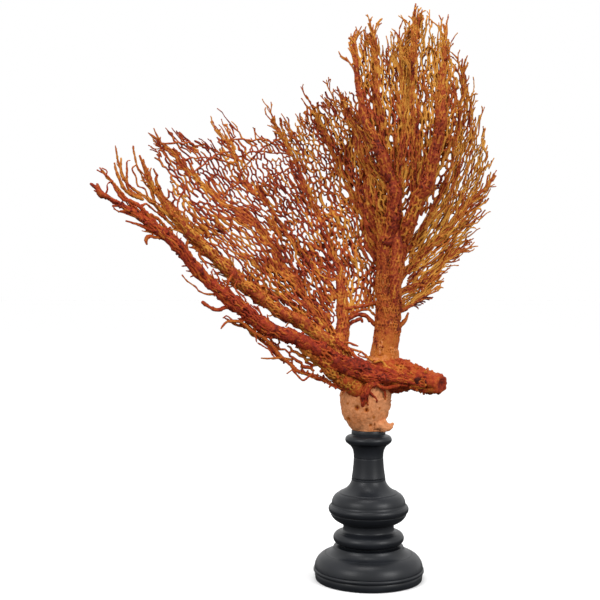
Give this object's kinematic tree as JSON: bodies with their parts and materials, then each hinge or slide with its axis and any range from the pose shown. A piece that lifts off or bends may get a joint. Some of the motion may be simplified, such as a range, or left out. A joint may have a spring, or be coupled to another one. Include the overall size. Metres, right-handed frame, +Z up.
{
  "type": "dried sea fan on a turned stand",
  "caption": "Dried orange-red sea fan with curved limbs, a fine net between them and a cut branch, on a turned black wooden stand.",
  "frame": {"origin": "centre of the foot's underside, on the stand's axis", "axes": "+Z up along the stand's axis, +X toward the cut branch, -Y toward the side on which the left limbs come forward"},
  "size_m": [0.3889, 0.1634, 0.5601],
  "materials": {
    "stand_wood": "black stain under a satin polish",
    "holdfast": "dry, smooth to finely fibrous, peach to golden orange",
    "red_bark": "dry, granular, dark red to rust",
    "fan": "dry, granular, ochre to red-brown"
  },
  "bodies": {
    "root": {"stand_foot": "stand_wood", "stand_body": "stand_wood", "stand_neck": "stand_wood", "trunk": "holdfast", "cut_branch": "red_bark", "left_fork": "fan", "middle_limb": "fan", "front_limb": "red_bark", "second_limb": "fan", "left_fan": "fan", "crown_left": "fan", "crown_right": "fan", "middle_fan": "fan", "right_fan": "fan", "back_fan": "fan"}
  },
  "joints": []
}
